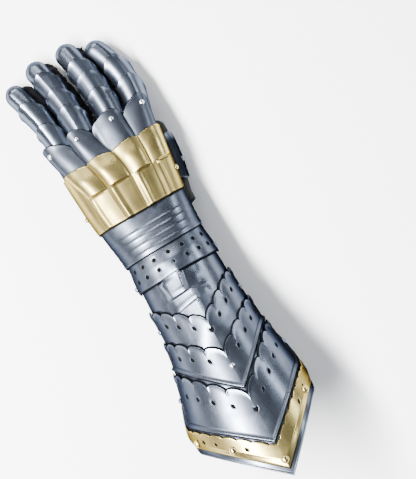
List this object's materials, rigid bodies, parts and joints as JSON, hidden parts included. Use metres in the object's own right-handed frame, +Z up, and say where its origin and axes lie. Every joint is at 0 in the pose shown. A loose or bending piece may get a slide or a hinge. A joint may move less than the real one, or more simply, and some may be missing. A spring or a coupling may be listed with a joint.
{
  "type": "armoured gauntlet",
  "caption": "Plate gauntlet for the left hand: overlapping steel lames with brass trim over a leather glove, flared to a pointed cuff.",
  "frame": {"origin": "bottom centre of the bounding box, on the surface it lies on", "axes": "+Y from the cuff to the fingertips, +X to the thumb's side, +Z up through the back of the hand"},
  "size_m": [0.1218, 0.4606, 0.1054],
  "materials": {
    "steel": "polished",
    "brass": "polished",
    "leather": "satin",
    "sleeve_leather": "matte"
  },
  "bodies": {
    "root": {"cuff_base_plate": "steel", "scalloped_lame_1": "steel", "scalloped_lame_2": "steel", "scalloped_lame_3": "steel", "keeled_wrist_plate": "steel", "punched_wrist_band": "steel", "ridged_hand_plate": "steel", "knuckle_lobe_plate": "steel", "little_lame_1": "steel", "little_lame_2": "steel", "little_tip_cap": "steel", "ring_lame_1": "steel", "ring_lame_2": "steel", "ring_lame_3": "steel", "ring_tip_cap": "steel", "middle_lame_1": "steel", "middle_lame_2": "steel", "middle_lame_3": "steel", "middle_tip_cap": "steel", "index_lame_1": "steel", "index_lame_2": "steel", "index_tip_cap": "steel", "thumb_plate": "steel", "lobe_rivet_1": "steel", "lobe_rivet_2": "steel", "lobe_rivet_3": "steel", "lobe_rivet_4": "steel", "lame_2_rivet": "steel", "thumb_rivet": "steel", "lame_1_rivet_little": "steel", "lame_3_rivet_little": "steel", "band_rivet_little": "steel", "lame_1_rivet_thumb": "steel", "lame_3_rivet_thumb": "steel", "band_rivet_thumb": "steel", "brass_border": "brass", "brass_knuckle_plate": "brass", "border_rivet_1": "brass", "border_rivet_2": "brass", "border_rivet_3": "brass", "border_rivet_4": "brass", "brass_rivet_little": "brass", "brass_rivet_thumb": "brass", "glove_little": "leather", "glove_ring": "leather", "glove_middle": "leather", "glove_index": "leather", "glove_thumb": "leather", "glove_hand": "leather", "leather_sleeve": "sleeve_leather"}
  },
  "joints": []
}
